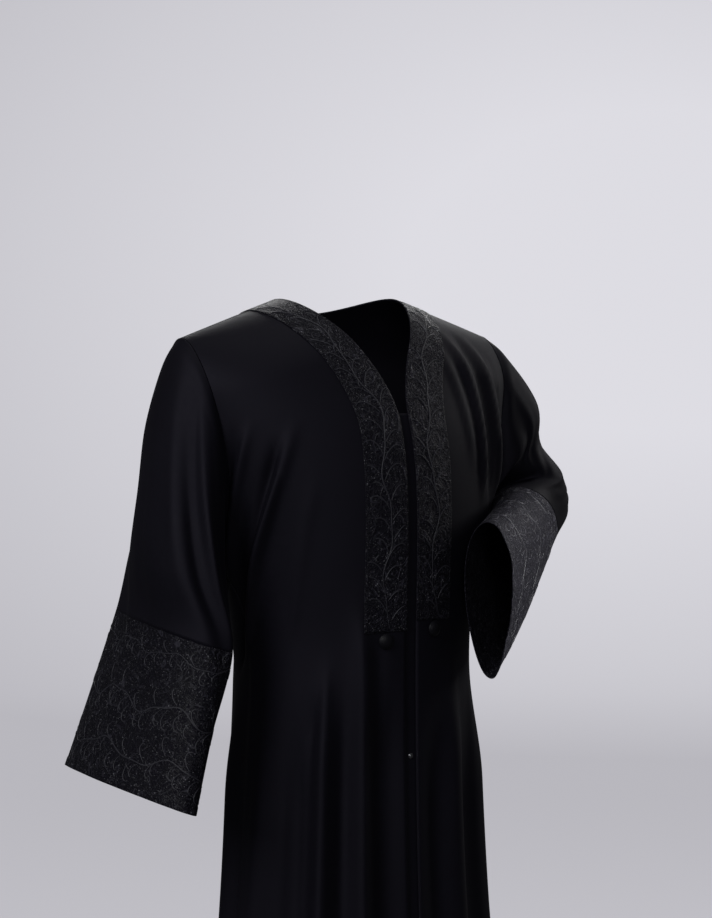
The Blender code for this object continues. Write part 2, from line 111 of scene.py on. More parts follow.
creases = [
    fold(-36, -91, -0.14, -0.46, 2.4, 0.0074),
    fold(-43, -100, -0.16, -0.48, 2.8, -0.0105),
    fold(-52, -97, -0.14, -0.39, 2.2, 0.0066),
    fold(-60, -100, -0.15, -0.38, 2.4, -0.0064),
    fold(-34, -60, -0.20, -0.44, 2.6, 0.0016),
    fold(-41, -45.5, -0.44, -1.80, 2.2, 0.0042),
    fold(-47, -52, -0.48, -1.80, 2.8, -0.0046),
    fold(-24.5, -22, -0.38, -1.80, 2.0, 0.0034),
    fold(-17, -15, -0.40, -1.80, 3.2, -0.0030),
    fold(-18, -17, -0.62, -1.31, 2.2, 0.0010),
    fold(-62, -66, -0.60, -1.80, 2.4, 0.0016),
    fold(-83, -86, -0.40, -0.92, 2.4, 0.0018),
    fold(-70, -73, -0.74, -1.80, 2.1, -0.0016),
    fold(20, 18, -0.66, -1.80, 2.2, 0.0011),
    fold(33, 36, -0.52, -1.20, 2.3, 0.0013),
    fold(48, 50, -0.47, -1.80, 2.2, 0.0016),
    fold(62, 66, -0.56, -1.52, 2.2, -0.0014),
    fold(19, 33, -0.04, -0.23, 1.8, 0.0036),
    fold(25, 43, -0.03, -0.27, 1.9, 0.0080),
    fold(31, 51, -0.03, -0.27, 2.0, -0.0056),
    fold(37, 58, -0.04, -0.28, 1.8, 0.0062),
    fold(47, 66, -0.06, -0.29, 2.0, -0.0034),
    fold(58, 78, -0.14, -0.36, 2.6, 0.0018),
    fold(44, 70, -0.20, -0.40, 2.8, -0.0012),
    fold(82, 86, -0.42, -1.10, 2.6, 0.0018),
    fold(-112, -111, -0.52, -1.80, 2.8, 0.0016),
    fold(-131, -130, -0.30, -1.10, 2.4, 0.0018),
    fold(-150, -153, -0.42, -1.80, 2.6, -0.0014),
    fold(-170, -169, -0.55, -1.42, 2.2, 0.0014),
    fold(172, 170, -0.34, -1.80, 2.4, -0.0012),
    fold(149, 151, -0.50, -1.80, 2.6, 0.0015),
    fold(129, 131, -0.36, -1.24, 2.4, -0.0016),
    fold(109, 110, -0.50, -1.80, 2.8, 0.0015),
    fold(-128, -106, -0.14, -0.34, 3.4, 0.0026),
    fold(-140, -116, -0.12, -0.33, 3.6, -0.0024),
    fold(127, 107, -0.14, -0.33, 3.2, 0.0026),
    fold(141, 118, -0.12, -0.31, 3.6, -0.0022),
]
foldOnset = dict(main=0.16, crease=0.06)

# sections of each sleeve beyond the armhole
# droop lowers a section, bend folds it at the elbow and turn swings it inward
armRow = namedtuple("armRow", "along x y z droop bend turn halfFront halfSide taper")
armRows = {
    right: [
        armRow(0.045, 0.2215, 0.004, -0.185, 12, 0, 0, 0.070, 0.117, 0.00),
        armRow(0.110, 0.232, 0.002, -0.220, 23, 0, 0, 0.076, 0.090, 0.00),
        armRow(0.190, 0.240, 0.000, -0.272, 41, -2, 0, 0.082, 0.066, 0.05),
        armRow(0.290, 0.250, -0.002, -0.340, 64, -6, 3, 0.090, 0.054, 0.10),
        armRow(0.385, 0.257, -0.005, -0.410, 75, -9, 8, 0.105, 0.043, 0.15),
        armRow(0.485, 0.291, -0.012, -0.506, 73, -9, 11, 0.113, 0.039, 0.15),
        armRow(0.590, 0.326, -0.020, -0.602, 72, -9, 14, 0.119, 0.036, 0.15),
    ],
    left: [
        armRow(0.045, 0.2235, 0.002, -0.182, 13, 0, 0, 0.070, 0.118, 0.00),
        armRow(0.110, 0.247, 0.002, -0.200, 33, 6, 0, 0.076, 0.090, 0.00),
        armRow(0.190, 0.261, 0.004, -0.229, 54, 14, 8, 0.078, 0.061, 0.00),
        armRow(0.290, 0.300, -0.006, -0.264, 80, 22, 30, 0.078, 0.055, 0.05),
        armRow(0.385, 0.270, -0.034, -0.298, 90, 38, 44, 0.086, 0.045, 0.10),
        armRow(0.485, 0.193, -0.114, -0.340, 90, 66, 44, 0.090, 0.033, 0.25),
        armRow(0.590, 0.100, -0.188, -0.378, 90, 84, 46, 0.099, 0.029, 0.25),
    ],
}
# folds of the sleeves by angle round the arm: 0 degrees in front, 90 outside, 180 behind, -90 at the seam
armFold = namedtuple("armFold", "startTurn endTurn start end halfWidth depth")
armFolds = {
    right: [
        armFold(58, -8, 0.02, 0.42, 14, -0.010),
        armFold(28, -36, 0.06, 0.48, 12, 0.008),
        armFold(62, 15, 0.10, 0.44, 16, 0.004),
        armFold(-50, -62, 0.22, 0.52, 24, 0.006),
        armFold(150, 120, 0.12, 0.50, 20, -0.006),
        armFold(205, 175, 0.08, 0.48, 20, 0.006),
        armFold(48, -16, 0.03, 0.38, 5, -0.0040),
        armFold(36, -28, 0.06, 0.42, 5, 0.0036),
        armFold(72, 40, 0.06, 0.33, 6, 0.0016),
        armFold(100, 84, 0.14, 0.42, 7, -0.0016),
        armFold(128, 104, 0.20, 0.52, 7, 0.0018),
        armFold(168, 150, 0.10, 0.44, 8, 0.0020),
        armFold(218, 196, 0.16, 0.50, 8, -0.0018),
        armFold(20, 22, 0.40, 0.72, 9, 0.0030),
        armFold(52, 60, 0.42, 0.72, 12, -0.0030),
        armFold(96, 104, 0.44, 0.72, 13, 0.0032),
        armFold(-18, -14, 0.42, 0.72, 10, -0.0026),
        armFold(150, 158, 0.43, 0.72, 14, -0.0030),
        armFold(204, 212, 0.45, 0.72, 13, 0.0030),
    ],
    left: [
        armFold(20, 10, 0.02, 0.24, 16, -0.006),
        armFold(52, 30, 0.05, 0.30, 16, 0.006),
        armFold(110, 60, 0.14, 0.34, 18, -0.005),
        armFold(150, 105, 0.18, 0.40, 18, 0.006),
        armFold(210, 170, 0.06, 0.36, 20, 0.005),
        armFold(36, 4, 0.03, 0.27, 5, 0.0024),
        armFold(62, 14, 0.08, 0.33, 6, -0.0024),
        armFold(84, 30, 0.14, 0.36, 6, 0.0026),
        armFold(128, 62, 0.18, 0.37, 7, -0.0022),
        armFold(142, 96, 0.20, 0.40, 7, 0.0020),
        armFold(190, 160, 0.14, 0.38, 8, -0.0020),
        armFold(226, 200, 0.10, 0.34, 8, 0.0018),
        armFold(64, 58, 0.39, 0.74, 9, 0.0016),
        armFold(36, 34, 0.42, 0.72, 9, -0.0018),
        armFold(120, 132, 0.42, 0.72, 13, -0.0022),
        armFold(160, 170, 0.44, 0.72, 14, 0.0024),
    ],
}
sleeves = dict(offset=0.0010, cuffSeam=0.385, cuffHem=0.590, around=132, sleeveRows=84)


def through(places, values, at):
    # smooth curve through the rows of a table, each slope taken from the rows beside it
    places = np.asarray(places, float)
    values = np.asarray(values, float)
    more = (...,) + (None,) * (values.ndim - 1)
    spans = np.diff(places)
    slopes = np.empty_like(values)
    slopes[0] = (values[1] - values[0]) / spans[0]
    slopes[-1] = (values[-1] - values[-2]) / spans[-1]
    slopes[1:-1] = (values[2:] - values[:-2]) / (places[2:] - places[:-2])[more]
    row = np.clip(np.searchsorted(places, at) - 1, 0, len(places) - 2)
    part = np.clip((at - places[row]) / spans[row], 0, 1)[more]
    rise = part**2 * (3 - 2 * part)
    leave = slopes[row] * part * (1 - part) ** 2
    arrive = slopes[row + 1] * part**2 * (part - 1)
    return values[row] * (1 - rise) + values[row + 1] * rise + spans[row][more] * (leave + arrive)


def column(rows, name, at):
    return through([row[0] for row in rows], [getattr(row, name) for row in rows], at)


def bodySize(name, z):
    return column(bodyRows, name, z)


def smooth(start, end, value):
    part = np.clip((value - start) / (end - start), 0, 1)
    return part**2 * (3 - 2 * part)


def unit(vectors):
    return vectors / np.maximum(np.linalg.norm(vectors, axis=-1, keepdims=True), 1e-9)


def shoulderZ(x):
    return -cloak["shoulderSlope"] * (np.abs(x) - cloak["neckX"])


def foldedOut(angle, z):
    # how far the folds and creases move the cloth outward at this angle and height
    total = np.zeros_like(z)
    for rows, onset in ((mainFolds, foldOnset["main"]), (creases, foldOnset["crease"])):
        for row in rows:
            share = (z - row.topZ) / (row.endZ - row.topZ)
            centre = row.topAngle + (row.endAngle - row.topAngle) * share
            apart = (np.degrees(angle) - centre + 180) % 360 - 180
            shown = smooth(row.topZ, row.topZ - onset, z) * smooth(row.endZ, row.endZ + onset, z)
            total += row.depth * shown * np.exp(-((apart / row.halfWidth) ** 2))
    return total


def bodyPoints(angle, z):
    across, ahead = np.sin(angle), np.cos(angle)
    x = bodySize("halfWidth", z) * across
    sideY = bodySize("sideY", z)
    edgeY = np.where(ahead > 0, bodySize("frontY", z), bodySize("backY", z))
    y = sideY + (edgeY - sideY) * np.abs(ahead)
    drop = np.clip((shoulderZ(x) - z) / cloak["shoulderRound"], 0, 1)
    y = cloak["shoulderY"] + (y - cloak["shoulderY"]) * np.sqrt(1 - (1 - drop) ** 2)
    out = foldedOut(angle, z)
    return np.stack([x + across * out, y - ahead * out, z], -1)


def outerColumns(firstX, near, firstShare, armholeSide, steps):
    # out along the shoulder seam, then down the armhole; each row is topX, topZ, near, share
    part = np.linspace(0, 1, steps["shoulder"] + 1)[1:]
    x = firstX + (cloak["tipX"] - firstX) * part
    share = firstShare + (cloak["tipShare"] - firstShare) * part
    shoulder = np.stack([x, shoulderZ(x), near + 0 * x, share], -1)
    part = (1 - np.cos(pi * np.linspace(0, 1, steps["armhole"] + 1)[1:])) / 2
    tipZ = shoulderZ(cloak["tipX"])
    z = tipZ + (cloak["underarmZ"] - tipZ) * part
    share = cloak["tipShare"] + (1 - cloak["tipShare"]) * part ** cloak["armholeEase"]
    armhole = np.stack([column(armholeRows, armholeSide, z), z, near + 0 * z, share], -1)
    return np.vstack([shoulder, armhole])


def bandColumns(parts):
    x = cloak["neckX"] + cloak["bandShoulderWidth"] * parts
    near = cloak["frontEdgeX"] + cloak["bandWidth"] * parts
    return np.stack([x, shoulderZ(x), near, 0 * x], -1)


def frontColumns(steps):
    band = bandColumns(np.linspace(0, 1, steps["band"] + 1))
    return np.vstack([band, outerColumns(band[-1, 0], band[-1, 2], 0.0, "frontX", steps)])


def backColumns(steps):
    turn = np.linspace(0, 1, steps["neck"] + 1)
    x = cloak["neckX"] * np.sin(pi / 2 * turn)
    z = -cloak["neckBackDrop"] * np.cos(pi / 2 * turn) ** 2
    neck = np.stack([x, z, 0 * x, cloak["backNeckShare"] * turn], -1)
    return np.vstack([neck, outerColumns(cloak["neckX"], 0.0, cloak["backNeckShare"], "backX", steps)])


def levels(side, bandRows, skirtRows):
    end = cloak["bandEndZ"][side]
    upper = end * np.linspace(0, 1, bandRows + 1) ** cloak["shoulderCrowding"]
    return np.concatenate([upper, np.linspace(end, cloak["hemZ"], skirtRows + 1)[1:]]) / cloak["hemZ"]


def settledX(near, share, z):
    halfWidth = bodySize("halfWidth", z)
    nearAngle = np.arcsin(np.minimum(near / halfWidth, 1))
    return halfWidth * np.sin(nearAngle + (pi / 2 - nearAngle) * share)


def panelPoints(columns, rows, side, behind=False):
    # a panel's points, row by row: its columns leave the shoulder or armhole and settle to hang straight
    # rows may give one level for all the columns, or a level for each
    topX, topZ, near, share = columns.T
    level = rows[:, None] if rows.ndim == 1 else rows
    early, late = cloak["shoulderSettling"], cloak["underarmSettling"]
    z = cloak["hemZ"] * level + topZ * (1 - level) ** (early + (late - early) * topZ / cloak["underarmZ"])
    fallen = np.clip((topZ - z) / cloak["necklineDrop"], 0, 1)
    shift = (topX - settledX(near, share, topZ)) * (1 - fallen) ** cloak["necklineEase"]
    angle = np.arcsin(np.clip((settledX(near, share, z) + shift) / bodySize("halfWidth", z), 0, 1))
    return bodyPoints(pi - side * angle if behind else side * angle, z)


def facing(points, outward, closed=False):
    # unit normals of a grid of points, on the side that outward points to at its middle
    around = points
    if closed:
        around = np.concatenate([points[:, -2:-1], points, points[:, 1:2]], axis=1)
    across = np.gradient(around, axis=1)
    across = across[:, 1:-1] if closed else across
    outs = unit(np.cross(np.gradient(points, axis=0), across))
    middle = outs[outs.shape[0] // 2, outs.shape[1] // 2]
    return outs if np.dot(middle, outward) > 0 else -outs


def armholeRing(side, turns):
    tipZ = shoulderZ(cloak["tipX"])
    z = (tipZ + cloak["underarmZ"]) / 2 + (tipZ - cloak["underarmZ"]) / 2 * np.sin(turns)
    inFront = np.cos(turns) > 0
    x = np.where(inFront, column(armholeRows, "frontX", z), column(armholeRows, "backX", z))
    angle = side * np.arcsin(np.minimum(x / bodySize("halfWidth", z), 1))
    return bodyPoints(np.where(inFront, angle, pi - angle), z) + [side * sleeves["offset"], 0, 0]


def armRing(side, row, turns):
    droop, bend, swing = radians(row.droop), radians(row.bend), radians(row.turn)
    ahead = np.array([cos(droop), 0, -sin(droop)])
    outer = np.array([sin(droop), 0, cos(droop)])
    front = np.array([0, -1, 0]) * cos(bend) - ahead * sin(bend)
    swell = row.halfSide * np.sin(turns) * (1 + row.taper * np.cos(turns))
    place = np.outer(row.halfFront * np.cos(turns), front) + np.outer(swell, outer)
    x = row.x + place[:, 0] * cos(swing) + place[:, 1] * sin(swing)
    y = row.y + place[:, 1] * cos(swing) - place[:, 0] * sin(swing)
    return np.stack([side * x, y, row.z + place[:, 2]], -1)


def armPoints(side, alongs, turns):
    # points round a sleeve at each distance along it; the last column meets the first at the underarm seam
    rings = [armholeRing(side, turns)] + [armRing(side, row, turns) for row in armRows[side]]
    points = through([0.0] + [row.along for row in armRows[side]], rings, alongs)
    outward = unit(points - points[:, :-1].mean(axis=1, keepdims=True))
    along, turn = np.meshgrid(alongs, np.degrees(turns), indexing="ij")
    total = np.zeros_like(along)
    for row in armFolds[side]:
        share = (along - row.start) / (row.end - row.start)
        apart = (turn - row.startTurn - (row.endTurn - row.startTurn) * share + 180) % 360 - 180
        total += row.depth * np.sin(pi * np.clip(share, 0, 1)) * np.exp(-((apart / row.halfWidth) ** 2))
    return points + outward * total[..., None]


def turnedHem(points, outward, depth, rise, closed=False):
    # the turning along the lower edge stands a little proud of the cloth
    up = np.linalg.norm(points - points[-1:], axis=-1)[..., None]
    return points + facing(points, outward, closed) * rise * smooth(depth, depth * 0.8, up)


def lengthsDown(points, col):
    steps = np.linalg.norm(np.diff(points[:, col], axis=0), axis=1)
    return np.concatenate([[0], np.cumsum(steps)])


def lengthsAcross(points, row):
    steps = np.linalg.norm(np.diff(points[row], axis=0), axis=1)
    return np.concatenate([[0], np.cumsum(steps)])


def finishPiece(name, shape, material, mesh=None):
    # the finished shape as a smooth object at the origin
    for face in shape.faces:
        face.smooth = True
    mesh = mesh or bpy.data.meshes.new(name)
    shape.to_mesh(mesh)
    shape.free()
    mesh.materials.append(material)
    piece = bpy.data.objects.new(name, mesh)
    bpy.context.scene.collection.objects.link(piece)
    return piece


def register(piece, replaced=()):
    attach(piece, "root")
    if replaced:
        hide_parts(*replaced)


def spunShape(profile, steps):
    # a half profile turned once round the upright axis, with its seam and poles closed
    shape = bmesh.new()
    verts = [shape.verts.new((radius, 0, height)) for radius, height in profile]
    edges = [shape.edges.new(pair) for pair in zip(verts, verts[1:])]
    bmesh.ops.spin(
        shape, geom=verts + edges, cent=(0, 0, 0), axis=(0, 0, 1), angle=2 * pi, steps=steps,
        use_merge=True, use_duplicate=False,
    )
    bmesh.ops.remove_doubles(shape, verts=shape.verts, dist=1e-5)
    bmesh.ops.recalc_face_normals(shape, faces=shape.faces)
    return shape


def addCloth(name, points, outward, thickness, material, replaced=(), closed=False):
    # a grid shaped by its points, with a map in metres across and down the cloth, then given its thickness
    rows, cols = points.shape[:2]
    shape = bmesh.new()
    bmesh.ops.create_grid(shape, x_segments=cols - 1, y_segments=rows - 1, size=1.0)
    mesh = bpy.data.meshes.new(name)
    shape.to_mesh(mesh)
    mesh.vertices.foreach_set("co", points.astype(np.float32).ravel())
    across = np.broadcast_to(lengthsAcross(points, rows // 2), (rows, cols))
    down = np.broadcast_to(lengthsDown(points, cols // 2)[:, None], (rows, cols))
    flat = np.stack([across, down], -1).reshape(-1, 2)
    corner = np.empty(len(mesh.loops), np.int32)
    mesh.loops.foreach_get("vertex_index", corner)
    mesh.uv_layers.new(name="cloth").data.foreach_set("uv", flat[corner].astype(np.float32).ravel())
    shape.clear()
    shape.from_mesh(mesh)
    if closed:
        bmesh.ops.remove_doubles(shape, verts=shape.verts, dist=1e-5)
    shape.normal_update()
    outs = facing(points, outward, closed)
    middle = Vector(outs[rows // 2, cols // 2])
    place = Vector(points[rows // 2, cols // 2])
    nearest = min(shape.faces, key=lambda face: (face.calc_center_median() - place).length_squared)
    if nearest.normal.dot(middle) < 0:
        bmesh.ops.reverse_faces(shape, faces=shape.faces)
    piece = finishPiece(name, shape, material, mesh)
    wall = piece.modifiers.new("wall", "SOLIDIFY")
    wall.thickness = thickness
    wall.offset = 0.0
    register(piece, replaced)
    area = sum(face.area for face in mesh.polygons)
    print(f"  {name}: {rows} x {cols} points, {area:.4f} square metres")
    return piece, outs


def addStrand(shape, line, outs, halfWidth, height, sides=6):
    # a strand of thread or one stitch: a thin closed tube along a line, flattened onto the cloth
    along = unit(np.gradient(line, axis=0))
    aside = unit(np.cross(outs, along))
    turns = np.linspace(0, 2 * pi, sides + 1)[None, :, None]
    taper = np.sin(np.linspace(0.0, 1.0, len(line)) * pi) ** 0.25
    taper[[0, -1]] = 0.0
    ring = aside[:, None] * np.cos(turns) * halfWidth + outs[:, None] * np.sin(turns) * height
    tube = line[:, None] + ring * taper[:, None, None]
    verts = bmesh.ops.create_grid(shape, x_segments=sides, y_segments=len(line) - 1, size=1.0)["verts"]
    for vertex, place in zip(verts, tube.reshape(-1, 3)):
        vertex.co = place


def finishThreads(name, shape, material):
    bmesh.ops.remove_doubles(shape, verts=shape.verts, dist=2e-6)
    bmesh.ops.dissolve_degenerate(shape, edges=shape.edges, dist=1e-6)
    bmesh.ops.recalc_face_normals(shape, faces=shape.faces)
    piece = finishPiece(name, shape, material)
    register(piece)
    print(f"  {name}: {len(piece.data.polygons)} faces")
    return piece


def onCloth(points, outs, row, col, height):
    # places on a panel's grid at fractional rows and columns, lifted off it, and how the cloth faces there
    row = np.clip(row, 0, points.shape[0] - 1.001)
    col = np.clip(col, 0, points.shape[1] - 1.001)
    r, c = row.astype(int), col.astype(int)
    down, over = (row - r)[:, None], (col - c)[:, None]

    def between(grid):
        upper = grid[r, c] * (1 - over) + grid[r, c + 1] * over
        lower = grid[r + 1, c] * (1 - over) + grid[r + 1, c + 1] * over
        return upper * (1 - down) + lower * down

    out = unit(between(outs))
    return between(points) + out * height, out


def uneven(index, seed=0.0):
    # an even spread of numbers from 0 to 1 that never repeats in step
    return (index * 0.6180340 + seed * 0.37) % 1.0


# how every vine grows: pairs are the least and how much more an uneven share adds
growth = dict(
    stemStep=0.003, ripple=0.28, rippleRate=2.3, points=16, slowing=0.62, bendShare=0.25, hookEase=2.4,
    first=0.40, last=0.25, length=(0.72, 0.55), curl=(0.75, 0.50), gap=(0.78, 0.44),
    shootEvery=3, shootPoint=7, shootTurn=0.6, shootReach=0.42, shootCurl=0.9, shootThread=0.85,
)


def stemLine(start, end, sway, wave, seed):
    # a vine's stem, wandering about a straight line
    run = np.linspace(start, end, max(int((end - start) / growth["stemStep"]), 8))
    beat = 2 * pi * run / wave + 5.1 * seed
    return run, sway * (np.sin(beat) + growth["ripple"] * np.sin(growth["rippleRate"] * beat + seed))


def tendrilLine(run, aside, heading, reach, curl):
    # leaves the stem at a heading, bends one way and closes in a hook
    part = np.linspace(0, 1, growth["points"])
    bend = growth["bendShare"]
    turn = heading + curl * (bend * part + (1 - bend) * part ** growth["hookEase"])
    step = reach / (growth["points"] - 1) * (1 - growth["slowing"] * part)
    return run + np.cumsum(np.cos(turn) * step), aside + np.cumsum(np.sin(turn) * step)


def vineLines(vine):
    # stem and tendrils as lines of (run, aside, half width), in metres on the flat cloth
    run, sway = stemLine(vine["start"], vine["end"], vine["sway"], vine["wave"], vine["seed"])
    lines = [(run, vine["aside"] + sway, vine["stem"])]

    def share(name, spread):
        least, more = growth[name]
        return least + more * spread

    place, index = vine["start"] + growth["first"] * vine["pitch"], 0
    while place < vine["end"] - growth["last"] * vine["pitch"]:
        index += 1
        spread = uneven(index, vine["seed"])
        over = vine["sides"][index % len(vine["sides"])]
        root = vine["aside"] + np.interp(place, run, sway)
        reach = vine["reach"] * share("length", spread)
        least, more = vine["lean"]
        heading = over * radians(least + more * uneven(index, vine["seed"] + 2))
        curl = over * radians(vine["curl"] * share("curl", spread))
        tendril = tendrilLine(place, root, heading, reach, curl)
        lines.append((*tendril, vine["thread"]))
        if index % growth["shootEvery"] == 0:
            # a small shoot leaves the tendril the other way
            fork = [line[growth["shootPoint"]] for line in tendril]
            away = heading - over * growth["shootTurn"]
            shoot = tendrilLine(*fork, away, reach * growth["shootReach"], -curl * growth["shootCurl"])
            lines.append((*shoot, vine["thread"] * growth["shootThread"]))
        place += vine["pitch"] * share("gap", uneven(index, vine["seed"] + 1))
    return lines


def newGroup(name, inputs, outputs):
    group = bpy.data.node_groups.new(name, "ShaderNodeTree")
    for label, kind, value in inputs:
        socket = group.interface.new_socket(name=label, in_out="INPUT", socket_type=kind)
        if value is not None:
            socket.default_value = value
    for label, kind in outputs:
        group.interface.new_socket(name=label, in_out="OUTPUT", socket_type=kind)
    return group, group.nodes.new("NodeGroupInput"), group.nodes.new("NodeGroupOutput")


def addNode(tree, kind, settings=None, **values):
    # settings set the node's own options, values its sockets, by name with spaces left out
    node = tree.nodes.new(kind)
    for name, value in (settings or {}).items():
        setattr(node, name, value)
    for socket in node.inputs:
        label = socket.name.replace(" ", "")
        if label in values and socket.enabled:
            socket.default_value = values[label]
    return node


def mathNode(tree, operation, first, second=None):
    node = tree.nodes.new("ShaderNodeMath")
    node.operation = operation
    for index, value in enumerate((first, second)):
        if value is None:
            continue
        if isinstance(value, (int, float)):
            node.inputs[index].default_value = value
        else:
            tree.links.new(value, node.inputs[index])
    return node.outputs[0]


def rangeNode(tree, value, fromMin, fromMax, toMin, toMax):
    node = addNode(tree, "ShaderNodeMapRange", FromMin=fromMin, FromMax=fromMax, ToMin=toMin, ToMax=toMax)
    tree.links.new(value, node.inputs["Value"])
    return node.outputs["Result"]


def noiseNode(tree, vector, scale, detail=2.0, roughness=0.5, distortion=0.0):
    node = addNode(
        tree, "ShaderNodeTexNoise", Scale=scale, Detail=detail, Roughness=roughness, Distortion=distortion
    )
    tree.links.new(vector, node.inputs["Vector"])
    return node.outputs["Fac"]


def rampNode(tree, value, stops):
    node = tree.nodes.new("ShaderNodeValToRGB")
    while len(node.color_ramp.elements) < len(stops):
        node.color_ramp.elements.new(0.5)
    for element, (position, colour) in zip(node.color_ramp.elements, stops):
        element.position = position
        element.color = (*colour, 1.0)
    tree.links.new(value, node.inputs["Fac"])
    return node.outputs["Color"]


def makePebbleGroup():
    # the crinkled pebble of crepe, and the slow change of shade across a length of it
    group, start, end = newGroup(
        "crepePebble",
        [("Vector", "NodeSocketVector", None), ("Scale", "NodeSocketFloat", 1100.0)],
        [("Height", "NodeSocketFloat"), ("Shade", "NodeSocketFloat")],
    )
    fine = addNode(group, "ShaderNodeTexNoise", Detail=2.0, Roughness=0.55, Distortion=0.6)
    group.links.new(start.outputs["Vector"], fine.inputs["Vector"])
    group.links.new(start.outputs["Scale"], fine.inputs["Scale"])
    softCells = {"feature": "SMOOTH_F1"}
    cells = addNode(group, "ShaderNodeTexVoronoi", softCells, Randomness=1.0, Smoothness=0.6)
    group.links.new(start.outputs["Vector"], cells.inputs["Vector"])
    group.links.new(mathNode(group, "MULTIPLY", start.outputs["Scale"], 0.7), cells.inputs["Scale"])
    grain = mathNode(group, "MULTIPLY", fine.outputs["Fac"], 0.6)
    pebble = mathNode(group, "MULTIPLY", cells.outputs["Distance"], 0.5)
    group.links.new(mathNode(group, "ADD", grain, pebble), end.inputs["Height"])
    slow = mathNode(group, "MULTIPLY", noiseNode(group, start.outputs["Vector"], 7.0, 3.0), 0.65)
    near = mathNode(group, "MULTIPLY", noiseNode(group, start.outputs["Vector"], 160.0, 2.0), 0.35)
    group.links.new(mathNode(group, "ADD", slow, near), end.inputs["Shade"])
    return group


scribble = dict(
    # each layer of lines: its share of the group's scale, its turns, its width and its strength
    layers=((1.0, 30.0, 0.55, 0.75), (1.9, 22.0, 0.55, 0.55), (0.40, 28.0, 0.20, 0.80)),
    speckScale=11.0, speckLit=(0.62, 0.90), speckReach=(0.15, 0.45), betweenLines=0.35, speckHeight=0.35,
)


def makeScribbleGroup():
    # a ground scribbled over with fine raised lines that follow the levels of a soft noise, with small
    # specks on them that are painted highlights
    group, start, end = newGroup(
        "scribbledGround",
        [("Vector", "NodeSocketVector", None), ("Scale", "NodeSocketFloat", 110.0)],
        [("Lines", "NodeSocketFloat"), ("PaintedGlint", "NodeSocketFloat"), ("Height", "NodeSocketFloat")],
    )
    lines = None
    for share, turns, width, strength in scribble["layers"]:
        noise = addNode(group, "ShaderNodeTexNoise", Detail=1.5, Roughness=0.5, Distortion=0.9)
        group.links.new(start.outputs["Vector"], noise.inputs["Vector"])
        group.links.new(mathNode(group, "MULTIPLY", start.outputs["Scale"], share), noise.inputs["Scale"])
        wave = mathNode(group, "SINE", mathNode(group, "MULTIPLY", noise.outputs["Fac"], turns))
        layer = rangeNode(group, mathNode(group, "ABSOLUTE", wave), 0.0, width, 1.0, 0.0)
        layer = mathNode(group, "MULTIPLY", layer, strength)
        lines = layer if lines is None else mathNode(group, "MAXIMUM", lines, layer)
    group.links.new(lines, end.inputs["Lines"])
    # specks on and near the lines are painted highlights: a mask that the brocade turns into light grey
    # base colour where the thread would catch the light
    specks = addNode(group, "ShaderNodeTexVoronoi", {"feature": "F1"}, Randomness=1.0)
    group.links.new(start.outputs["Vector"], specks.inputs["Vector"])
    speckScale = mathNode(group, "MULTIPLY", start.outputs["Scale"], scribble["speckScale"])
    group.links.new(speckScale, specks.inputs["Scale"])
    lit = rangeNode(group, specks.outputs["Color"], *scribble["speckLit"], 0.0, 1.0)
    near = rangeNode(group, specks.outputs["Distance"], *scribble["speckReach"], 1.0, 0.0)
    onLines = rangeNode(group, lines, 0.0, 1.0, scribble["betweenLines"], 1.0)
    glint = mathNode(group, "MULTIPLY", mathNode(group, "MULTIPLY", lit, near), onLines)
    group.links.new(glint, end.inputs["PaintedGlint"])
    tiny = mathNode(group, "MULTIPLY", specks.outputs["Distance"], scribble["speckHeight"])
    group.links.new(mathNode(group, "ADD", lines, tiny), end.inputs["Height"])
    return group


pebbleGroup = makePebbleGroup()
scribbleGroup = makeScribbleGroup()


def newMaterial(name):
    material = bpy.data.materials.new(name)
    material.use_nodes = True
    return material, material.node_tree, material.node_tree.nodes["Principled BSDF"]


def groupNode(tree, group, vector, scale):
    node = tree.nodes.new("ShaderNodeGroup")
    node.node_tree = group
    node.inputs["Scale"].default_value = scale
    tree.links.new(vector, node.inputs["Vector"])
    return node


def setSockets(shader, values):
    for name, value in values.items():
        shader.inputs[name].default_value = value


def shadeBy(tree, shader, value, finish):
    # colour and roughness follow one value, from dark and first to light and last
    low, high = finish["tones"]
    stops = [(low, finish["dark"]), (high, finish["light"])]
    tree.links.new(rampNode(tree, value, stops), shader.inputs["Base Color"])
    rough = rangeNode(tree, value, 0.3, 0.7, *finish["roughness"])
    tree.links.new(rough, shader.inputs["Roughness"])


def bumpTo(tree, shader, height, finish):
    bump = addNode(tree, "ShaderNodeBump", Strength=finish["bump"], Distance=finish["bumpDepth"])
    tree.links.new(height, bump.inputs["Height"])
    tree.links.new(bump.outputs["Normal"], shader.inputs["Normal"])


def objectVector(tree):
    return tree.nodes.new("ShaderNodeTexCoord").outputs["Object"]


def clothVector(tree):
    return tree.nodes.new("ShaderNodeTexCoord").outputs["UV"]


crepe = dict(
    dark=(0.0020, 0.0018, 0.0034), light=(0.0036, 0.0033, 0.0058), tones=(0.30, 0.72),
    roughness=(0.60, 0.72), grain=1250.0, bump=0.35, bumpDepth=0.00018, sheen=0.006, sheenRoughness=0.42,
    sheenTint=(0.70, 0.68, 0.95, 1.0), specular=0.15, specularTint=(0.84, 0.80, 1.0, 1.0),
)


def makeCrepe():
    material, tree, shader = newMaterial("crepe")
    grain = groupNode(tree, pebbleGroup, objectVector(tree), crepe["grain"])
    shadeBy(tree, shader, grain.outputs["Shade"], crepe)
    bumpTo(tree, shader, grain.outputs["Height"], crepe)
    setSockets(shader, {
        "Sheen Weight": crepe["sheen"], "Sheen Roughness": crepe["sheenRoughness"],
        "Sheen Tint": crepe["sheenTint"], "Specular IOR Level": crepe["specular"],
        "Specular Tint": crepe["specularTint"],
    })
    return material


